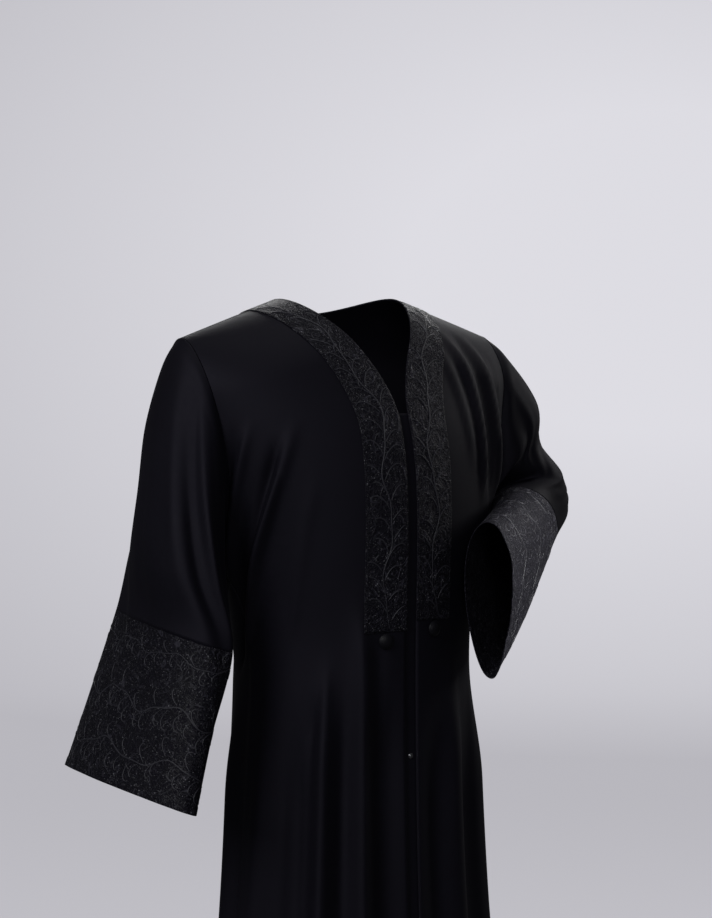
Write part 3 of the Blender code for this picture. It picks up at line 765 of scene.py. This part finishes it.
brocade = dict(
    # the light grey speck colour is a painted highlight on the thread, put into the base colour
    ground=(0.0034, 0.0032, 0.0052), line=(0.024, 0.0230, 0.032), glint=(0.34, 0.34, 0.36), scale=46.0,
    roughness=(0.60, 0.44), bump=0.95, bumpDepth=0.0026, sheen=0.003, specular=0.10, coat=(0.0, 0.24),
    coatRoughness=0.44, specularTint=(0.84, 0.80, 1.0, 1.0),
)


def makeBrocade():
    material, tree, shader = newMaterial("brocade")
    ground = groupNode(tree, scribbleGroup, clothVector(tree), brocade["scale"])
    lines = ground.outputs["Lines"]
    mixed = addNode(tree, "ShaderNodeMix", {"data_type": "RGBA"})
    colours = [socket for socket in mixed.inputs if socket.type == "RGBA"]
    # the speck mask mixes light grey into the base colour: painted highlights on the thread
    tree.links.new(ground.outputs["PaintedGlint"], mixed.inputs["Factor"])
    tree.links.new(rampNode(tree, lines, [(0.0, brocade["ground"]), (1.0, brocade["line"])]), colours[0])
    colours[1].default_value = (*brocade["glint"], 1.0)
    mixedColour = next(socket for socket in mixed.outputs if socket.type == "RGBA")
    tree.links.new(mixedColour, shader.inputs["Base Color"])
    tree.links.new(rangeNode(tree, lines, 0.0, 1.0, *brocade["roughness"]), shader.inputs["Roughness"])
    tree.links.new(rangeNode(tree, lines, 0.0, 1.0, *brocade["coat"]), shader.inputs["Coat Weight"])
    bumpTo(tree, shader, ground.outputs["Height"], brocade)
    setSockets(shader, {
        "Sheen Weight": brocade["sheen"], "Specular IOR Level": brocade["specular"],
        "Specular Tint": brocade["specularTint"], "Coat Roughness": brocade["coatRoughness"],
    })
    return material


thread = dict(
    dark=(0.010, 0.010, 0.014), light=(0.030, 0.029, 0.038), tones=(0.3, 0.7), roughness=(0.38, 0.52),
    twist=1500.0, bump=0.5, bumpDepth=0.0003, specular=0.35,
)


def makeThread():
    material, tree, shader = newMaterial("vineThread")
    strands = noiseNode(tree, objectVector(tree), thread["twist"], 1.0)
    shadeBy(tree, shader, strands, thread)
    bumpTo(tree, shader, strands, thread)
    setSockets(shader, {"Specular IOR Level": thread["specular"]})
    return material


covered = dict(
    dark=(0.0020, 0.0019, 0.0032), light=(0.0036, 0.0034, 0.0054), tones=(0.3, 0.7), roughness=(0.44, 0.54),
    grain=1700.0, bump=0.22, bumpDepth=0.00012, sheen=0.004, specular=0.15,
)


def makeCovered():
    material, tree, shader = newMaterial("coveredButton")
    grain = groupNode(tree, pebbleGroup, objectVector(tree), covered["grain"])
    shadeBy(tree, shader, grain.outputs["Shade"], covered)
    bumpTo(tree, shader, grain.outputs["Height"], covered)
    setSockets(shader, {"Sheen Weight": covered["sheen"], "Specular IOR Level": covered["specular"]})
    return material


metal = dict(
    dark=(0.14, 0.14, 0.15), light=(0.27, 0.27, 0.28), tones=(0.3, 0.7), roughness=(0.16, 0.34),
    scuffs=900.0, bump=0.1, bumpDepth=0.0001,
)


def makeMetal():
    material, tree, shader = newMaterial("studMetal")
    scuffs = noiseNode(tree, objectVector(tree), metal["scuffs"], 3.0)
    shadeBy(tree, shader, scuffs, metal)
    bumpTo(tree, shader, scuffs, metal)
    setSockets(shader, {"Metallic": 1.0})
    return material


crepeCloth, brocadeCloth, vineThread = makeCrepe(), makeBrocade(), makeThread()
coveredCloth, studMetal = makeCovered(), makeMetal()
print("materials made")

hems = dict(skirt=0.025, cuff=0.012, rise=0.0006)
fronts = dict(steps=dict(band=10, shoulder=20, armhole=34), bandRows=120, skirtRows=180)
frontGrids, frontPieces = {}, {}
for side in (right, left):
    rows = levels(side, fronts["bandRows"], fronts["skirtRows"])
    points = panelPoints(frontColumns(fronts["steps"]), rows, side)
    points = turnedHem(points, (0, -1, 0), hems["skirt"], hems["rise"])
    name = "front_" + endNames[side]
    frontPieces[side], outs = addCloth(
        name + "_panel", points, (0, -1, 0), cloak["clothThickness"], crepeCloth, replaced=(name,)
    )
    frontGrids[side] = (points, outs)

back = dict(steps=dict(neck=16, shoulder=20, armhole=34), bandRows=110, skirtRows=165)
rows = levels(left, back["bandRows"], back["skirtRows"])
halves = [panelPoints(backColumns(back["steps"]), rows, side, behind=True) for side in (right, left)]
backGrid = np.concatenate([halves[0][:, :0:-1], halves[1]], axis=1)
backGrid = turnedHem(backGrid, (0, 1, 0), hems["skirt"], hems["rise"])
backPiece, backOuts = addCloth(
    "back_panel", backGrid, (0, 1, 0), cloak["clothThickness"], crepeCloth, replaced=("back",)
)
print("body panels made")

sleevePieces, sleeveGrids, cuffPieces, cuffGrids = {}, {}, {}, {}
cuffs = dict(around=220, rows=84, thickness=0.0012)


def armGrid(side, start, end, rows, around):
    # a tube's points, and which way its middle faces
    turns = np.linspace(0, 2 * pi, around + 1) - pi / 2
    points = armPoints(side, np.linspace(start, end, rows + 1), turns)
    return points, points[rows // 2, (around + 1) // 2] - points[rows // 2].mean(axis=0)


for side in (right, left):
    name = "sleeve_" + endNames[side]
    points, outward = armGrid(side, 0.0, sleeves["cuffSeam"], sleeves["sleeveRows"], sleeves["around"])
    sleevePieces[side], outs = addCloth(
        name + "_tube", points, outward, cloak["clothThickness"], crepeCloth, replaced=(name,),
        closed=True,
    )
    sleeveGrids[side] = (points, outs)
    name = "cuff_" + endNames[side]
    points, outward = armGrid(side, sleeves["cuffSeam"], sleeves["cuffHem"], cuffs["rows"], cuffs["around"])
    points = turnedHem(points, outward, hems["cuff"], hems["rise"], closed=True)
    cuffPieces[side], outs = addCloth(
        name + "_tube", points, outward, cuffs["thickness"], brocadeCloth, replaced=(name,),
        closed=True,
    )
    cuffGrids[side] = (points, outs)
print("sleeves and cuffs made")

# the bands lie on the fronts, made from the same points moved out
bands = dict(steps=32, rows=210, thickness=0.0009, lift=0.0012)
bandGrids, bandPieces = {}, {}
for side in (right, left):
    name = "band_" + endNames[side]
    columns = bandColumns(np.linspace(0, 1, bands["steps"] + 1))
    rows = levels(side, bands["rows"], 1)[:-1]
    points = panelPoints(columns, rows, side)
    points = points + facing(points, (0, -1, 0)) * bands["lift"]
    bandPieces[side], outs = addCloth(
        name + "_strip", points, (0, -1, 0), bands["thickness"], brocadeCloth, replaced=(name,)
    )
    bandGrids[side] = (points, outs)

# behind the neck the band runs as a curved strip below the neckline, drawn up past the shoulder seams
neckBand = dict(
    steps=dict(neck=24, shoulder=20, armhole=8), rows=24, pastSeam=6, depth=0.0335, endShare=0.18,
)
neckSteps = neckBand["steps"]["neck"]
columns = backColumns(neckBand["steps"])[: neckSteps + neckBand["pastSeam"] + 1]
past = np.clip(np.arange(len(columns)) - neckSteps, 0, None) / neckBand["pastSeam"]
depth = neckBand["depth"] * (1 - (1 - neckBand["endShare"]) * smooth(0, 1, past))
rows = (np.linspace(0, 1, neckBand["rows"] + 1) ** cloak["shoulderCrowding"])[:, None] * depth[None]
halves = [panelPoints(columns, rows, side, behind=True) for side in (right, left)]
points = np.concatenate([halves[0][:, :0:-1], halves[1]], axis=1)
points = points + facing(points, (0, 1, 0)) * bands["lift"]
neckPiece, neckOuts = addCloth(
    "band_back_neck_strip", points, (0, 1, 0), bands["thickness"], brocadeCloth,
    replaced=("band_back_neck",),
)
neckGrid = (points, neckOuts)
print("bands made")

underlap = dict(reach=0.0058, topZ=-0.140, setBack=0.0022, steps=4, between=6)
columns = bandColumns(np.linspace(0, underlap["reach"] / cloak["bandWidth"], underlap["steps"] + 1))
rows = levels(left, fronts["bandRows"], fronts["skirtRows"])
sides = {side: panelPoints(columns, rows, side) for side in (right, left)}
shown = sides[right][:, 0, 2] < underlap["topZ"]
middle = np.linspace(0, 1, underlap["between"] + 1)[1:-1, None]
strips = sides[right][:, 0][:, None] * (1 - middle)[None] + sides[left][:, 0][:, None] * middle[None]
points = np.concatenate([sides[right][:, ::-1], strips, sides[left]], axis=1)[shown]
underlapGrid = points - facing(points, (0, -1, 0)) * underlap["setBack"]
underlapPiece, underlapOuts = addCloth(
    "underlap_strip", underlapGrid, (0, -1, 0), cloak["clothThickness"], crepeCloth,
    replaced=("underlap",),
)
print("underlap made")


# embroidery: corded vines lying on the bands and cuffs, drawn flat in metres and then laid on the cloth
bandVine = dict(
    aside=0.029, sway=0.0060, wave=0.140, pitch=0.0125, reach=0.050, lean=(14, 20), curl=112, sides=(1, -1),
    stem=0.00080, thread=0.00070, height=0.00050, margin=0.004,
)
neckVine = dict(bandVine, aside=0.022, reach=0.020, margin=0.008, seed=7.0)
vineSeeds = {right: 1.0, left: 4.0}
# the cuff's vines run round it, each at its share of the cuff's depth
cuffVine = dict(lean=(24, 26), curl=172, sides=(1, 1, -1), thread=0.00070)
vineRow = namedtuple("vineRow", "share sway wave pitch reach stem seed")
cuffVines = [
    vineRow(0.13, 0.005, 0.090, 0.0150, 0.030, 0.00060, 2.0),
    vineRow(0.46, 0.009, 0.105, 0.0105, 0.046, 0.00080, 5.0),
    vineRow(0.78, 0.008, 0.115, 0.0105, 0.044, 0.00080, 9.0),
]
laying = dict(edge=0.002, sunk=0.25, fewest=5, longestStep=0.02)


def layLine(shape, grid, run, aside, halfWidth, height, thickness, downwards):
    # downwards: the run goes down the cloth and aside across it, or else round the cloth and down it
    points, outs = grid
    middleRow, middleCol = points.shape[0] // 2, points.shape[1] // 2
    down, across = lengthsDown(points, middleCol), lengthsAcross(points, middleRow)
    over, below = (aside, run) if downwards else (run % across[-1], aside)
    edge = laying["edge"]
    keep = (below > edge) & (below < down[-1] - edge)
    if downwards:
        keep &= (over > edge) & (over < across[-1] - edge)
    # the line stops where it first reaches an edge of the cloth
    last = len(keep) if keep.all() else int(np.argmin(keep))
    if last < laying["fewest"]:
        return
    row = np.interp(below[:last], down, np.arange(len(down)))
    col = np.interp(over[:last], across, np.arange(len(across)))
    line, out = onCloth(points, outs, row, col, thickness / 2 + height * laying["sunk"])
    if np.linalg.norm(np.diff(line, axis=0), axis=1).max() < laying["longestStep"]:
        addStrand(shape, line, out, halfWidth, height)


def splitAtSeam(run, circumference):
    # parts of a line that runs round a cuff more than once past its seam
    turn = np.floor(run / circumference)
    cuts = np.flatnonzero(np.diff(turn)) + 1
    return np.split(np.arange(len(run)), cuts)


threadPieces = {}
for side in (right, left):
    shape = bmesh.new()
    length = lengthsDown(bandGrids[side][0], bands["steps"] // 2)[-1]
    margin = bandVine["margin"]
    vine = dict(bandVine, start=margin, end=length - margin, seed=vineSeeds[side])
    for run, aside, halfWidth in vineLines(vine):
        # the vine grows up the band
        layLine(
            shape, bandGrids[side], length - run, aside, halfWidth, bandVine["height"],
            bands["thickness"], True,
        )
    name = "band_" + endNames[side] + "_vine"
    threadPieces["band", side] = finishThreads(name, shape, vineThread)

    shape = bmesh.new()
    points = cuffGrids[side][0]
    around = lengthsAcross(points, points.shape[0] // 2)[-1]
    depth = lengthsDown(points, points.shape[1] // 2)[-1]
    for row in cuffVines:
        vine = dict(cuffVine, start=0.0, end=around, aside=row.share * depth, **row._asdict())
        for run, aside, halfWidth in vineLines(vine):
            for part in splitAtSeam(run, around):
                layLine(
                    shape, cuffGrids[side], run[part], aside[part], halfWidth, bandVine["height"],
                    cuffs["thickness"], False,
                )
    name = "cuff_" + endNames[side] + "_vines"
    threadPieces["cuff", side] = finishThreads(name, shape, vineThread)

shape = bmesh.new()
neckLength = lengthsAcross(neckGrid[0], neckBand["rows"] // 2)[-1]
vine = dict(neckVine, start=neckVine["margin"], end=neckLength - neckVine["margin"])
for run, aside, halfWidth in vineLines(vine):
    if run.min() > 0 and run.max() < neckLength:
        layLine(shape, neckGrid, run, aside, halfWidth, bandVine["height"], bands["thickness"], False)
threadPieces["neck", 0] = finishThreads("band_back_neck_vine", shape, vineThread)
print("embroidery made")


# rows of machine stitches, each a short raised thread, laid along a seam or an edge
stitch = dict(
    length=0.0026, pitch=0.0034, halfWidth=0.00022, height=0.00016, lift=0.00062, inColumns=1.4,
    aboveSeam=0.003, belowTurning=0.002,
)


def sewRow(shape, grid, length, rowAt, colAt):
    # rowAt and colAt turn a distance along the seam into fractional rows and columns of the grid
    for start in np.arange(stitch["pitch"], length - stitch["pitch"], stitch["pitch"]):
        part = start + np.linspace(0, stitch["length"], 3)
        line, out = onCloth(*grid, rowAt(part), colAt(part), stitch["lift"])
        addStrand(shape, line, out, stitch["halfWidth"], stitch["height"], sides=4)


def sewAround(shape, grid, fromEdge):
    # a row across or round the grid, so many metres up from its lower edge
    points = grid[0]
    across, down = lengthsAcross(points, points.shape[0] // 2), lengthsDown(points, points.shape[1] // 2)
    row = np.interp(down[-1] - fromEdge, down, np.arange(len(down)))
    columns = np.arange(len(across))
    sewRow(
        shape, grid, across[-1], lambda part: 0 * part + row, lambda part: np.interp(part, across, columns)
    )


def sewDown(shape, grid, col):
    # a row down the grid along one of its columns
    down = lengthsDown(grid[0], int(col))
    rows = np.arange(len(down))
    sewRow(shape, grid, down[-1], lambda part: np.interp(part, down, rows), lambda part: 0 * part + col)


def stitchesAround(name, grid, fromEdge, material):
    shape = bmesh.new()
    sewAround(shape, grid, fromEdge)
    return finishThreads(name, shape, material)


hemStitch = hems["skirt"] - stitch["belowTurning"]
for side in (right, left):
    end = endNames[side]
    shape = bmesh.new()
    for col in (stitch["inColumns"], bands["steps"] - stitch["inColumns"]):
        sewDown(shape, bandGrids[side], col)
    finishThreads(f"band_{end}_stitches", shape, vineThread)
    for part, grid, fromEdge, material, slotName in (
        ("cuff", cuffGrids[side], hems["cuff"], vineThread, "brocade"),
        ("sleeve", sleeveGrids[side], stitch["aboveSeam"], crepeCloth, "crepe"),
        ("front", frontGrids[side], hemStitch, crepeCloth, "crepe"),
    ):
        name = f"{part}_{end}_stitches"
        stitchesAround(name, grid, fromEdge, material)
stitchesAround(
    "back_stitches", (backGrid, backOuts), hemStitch, crepeCloth
)
print("stitches made")


def addRound(name, profile, place, out, material, node, steps=48):
    # a round piece on the cloth, turned from its half profile and set facing outward at its place
    shape = spunShape(profile, steps)
    turn = Vector((0, 0, 1)).rotation_difference(Vector(out)).to_matrix().to_4x4()
    bmesh.ops.transform(shape, matrix=Matrix.Translation(Vector(place)) @ turn, verts=shape.verts)
    register(finishPiece(name, shape, material), (node,))


def nearestOn(grid, x, z):
    points, outs = grid
    found = np.argmin((points[..., 0] - x) ** 2 + (points[..., 2] - z) ** 2)
    return points.reshape(-1, 3)[found], outs.reshape(-1, 3)[found]


buttons = dict(
    radius=0.010, height=0.0062, x=0.037, drop=0.003, lift=0.0008,
    profile=((0.0, 0.0), (0.90, 0.0), (0.985, 0.10), (1.0, 0.26), (0.985, 0.40), (0.93, 0.50),
             (0.90, 0.525), (0.87, 0.545), (0.80, 0.66), (0.66, 0.80), (0.48, 0.91), (0.26, 0.98),
             (0.0, 1.0)),
)
for side in (right, left):
    z = cloak["bandEndZ"][side] - buttons["radius"] - buttons["drop"]
    place, out = nearestOn(frontGrids[side], side * buttons["x"], z)
    profile = [(buttons["radius"] * wide, buttons["height"] * high) for wide, high in buttons["profile"]]
    name = "button_" + endNames[side]
    place = place + out * buttons["lift"]
    addRound(name + "_dome", profile, place, out, coveredCloth, name)

stud = dict(
    radius=0.0035, height=0.0016, z=-0.572, lift=0.0007,
    profile=((0.0, 0.0), (1.0, 0.0), (1.0, 0.22), (0.90, 0.36), (0.72, 0.36), (0.62, 0.44), (0.56, 0.72),
             (0.40, 0.92), (0.20, 1.0), (0.0, 1.0)),
)
place, out = nearestOn((underlapGrid, underlapOuts), 0.0, stud["z"])
profile = [(stud["radius"] * wide, stud["height"] * high) for wide, high in stud["profile"]]
addRound("press_stud_cap", profile, place + out * stud["lift"], out, studMetal, "press_stud")
print("buttons and stud made")


for side in (right, left):
    end = endNames[side]

# a round studio: pale floor that sweeps up into a pale wall on every side
# its glow is for the eye alone, so that the dark cloth is lit by the lamps
studio = dict(
    floorZ=-1.50, radius=9.5, bend=2.0, height=6.5, steps=96, paper=(0.10, 0.10, 0.105), glow=1.0,
    # the glow's colours, near to far, are painted light fading out from the centre of a painted pool of
    # light
    bright=(6.4, 7.1, 0.13), squash=1.5, fade=(1.1, 4.4),
    near=(0.715, 0.708, 0.755), middle=(0.60, 0.593, 0.635), far=(0.47, 0.463, 0.50),
)


def makeStudio():
    # the paper's glow is painted light, a painted pool of light strongest at one place on the wall that
    # fades evenly away from it
    material, tree, shader = newMaterial("studioPaper")
    shift = addNode(tree, "ShaderNodeVectorMath", {"operation": "SUBTRACT"})
    shift.inputs[1].default_value = studio["bright"]
    tree.links.new(objectVector(tree), shift.inputs[0])
    stretch = addNode(tree, "ShaderNodeVectorMath", {"operation": "MULTIPLY"})
    stretch.inputs[1].default_value = (1.0, 1.0, studio["squash"])
    tree.links.new(shift.outputs["Vector"], stretch.inputs[0])
    away = addNode(tree, "ShaderNodeVectorMath", {"operation": "LENGTH"})
    tree.links.new(stretch.outputs["Vector"], away.inputs[0])
    faded = rangeNode(tree, away.outputs["Value"], *studio["fade"], 0.0, 1.0)
    stops = [(0.0, studio["near"]), (0.5, studio["middle"]), (1.0, studio["far"])]
    tree.links.new(rampNode(tree, faded, stops), shader.inputs["Emission Color"])
    setSockets(shader, {
        "Base Color": (*studio["paper"], 1.0), "Roughness": 0.9, "Emission Strength": studio["glow"],
        "Specular IOR Level": 0.1,
    })
    reach, bend = studio["radius"], studio["bend"]
    floor = [(0.0, 0.0), (reach - bend, 0.0)]
    curve = [(reach - bend + bend * sin(a), bend * (1 - cos(a))) for a in np.linspace(0.1, pi / 2, 14)]
    wall = [(reach, studio["height"])]
    profile = [(radius, studio["floorZ"] + height) for radius, height in floor + curve + wall]
    sweep = finishPiece("studio_sweep", spunShape(profile, studio["steps"]), material)
    sweep.visible_diffuse = False
    sweep.visible_glossy = False


makeStudio()

lights = dict(
    key=dict(place=(3.2, -0.1, 1.0), size=(0.7, 1.2), power=22, colour=(1.0, 0.99, 0.98)),
    fill=dict(place=(-3.2, -1.0, 1.5), size=(1.6, 2.2), power=72, colour=(0.97, 0.98, 1.0)),
    front=dict(place=(-1.7, -3.1, 0.8), size=(1.2, 1.8), power=27, colour=(0.97, 0.98, 1.0)),
    top=dict(place=(0.6, 0.2, 2.6), size=(0.9, 0.9), power=11, colour=(1.0, 1.0, 1.0)),
    rear=dict(place=(1.9, 2.6, 1.6), size=(1.8, 1.4), power=60, colour=(1.0, 1.0, 1.0)),
)
lampsAim = (0.0, 0.0, -0.35)


def addLamp(data, place, aim):
    lamp = bpy.data.objects.new(data.name, data)
    lamp.location = place
    lamp.rotation_euler = (Vector(aim) - lamp.location).to_track_quat("-Z", "Y").to_euler()
    bpy.context.scene.collection.objects.link(lamp)
    return lamp


for name, light in lights.items():
    data = bpy.data.lights.new(name, "AREA")
    data.shape = "RECTANGLE"
    data.size, data.size_y = light["size"]
    data.energy = light["power"]
    data.color = light["colour"]
    addLamp(data, light["place"], lampsAim)

# a narrow lamp beside the bent arm picks out the glitter of its cuff, and lights nothing else
cuffLamp = dict(
    place=(2.1, -1.7, -0.1), aim=(0.17, -0.16, -0.37), power=400, cone=14.0, edge=0.6, radius=0.05,
)
data = bpy.data.lights.new("cuff", "SPOT")
data.energy = cuffLamp["power"]
data.spot_size, data.spot_blend = radians(cuffLamp["cone"]), cuffLamp["edge"]
data.shadow_soft_size = cuffLamp["radius"]
lamp = addLamp(data, cuffLamp["place"], cuffLamp["aim"])
lamp.light_linking.receiver_collection = bpy.data.collections.new("cuff_lit")
for piece in (cuffPieces[left], threadPieces["cuff", left]):
    lamp.light_linking.receiver_collection.objects.link(piece)

ambient = dict(colour=(0.80, 0.80, 0.84, 1.0), strength=0.08)
world = bpy.data.worlds.new("studio")
world.use_nodes = True
glow = {"Color": ambient["colour"], "Strength": ambient["strength"]}
setSockets(world.node_tree.nodes["Background"], glow)
bpy.context.scene.world = world

# the camera stands to the wearer's right, and the cloak's hem falls below its frame
shot = dict(
    azimuth=-34.0, elevation=3.0, distance=3.8, lens=115.5, sensor=36.0, aim=(0.0171, -0.0115, -0.205),
)


def addCamera():
    turn, lift = radians(shot["azimuth"]), radians(shot["elevation"])
    away = Vector((sin(turn) * cos(lift), -cos(turn) * cos(lift), sin(lift)))
    data = bpy.data.cameras.new("camera")
    data.lens, data.sensor_width = shot["lens"], shot["sensor"]
    camera = bpy.data.objects.new("camera", data)
    camera.location = Vector(shot["aim"]) + away * shot["distance"]
    camera.rotation_euler = away.to_track_quat("Z", "Y").to_euler()
    bpy.context.scene.collection.objects.link(camera)
    bpy.context.scene.camera = camera


addCamera()
bpy.context.scene.view_settings.view_transform = "Standard"
print("studio, lights and camera set")
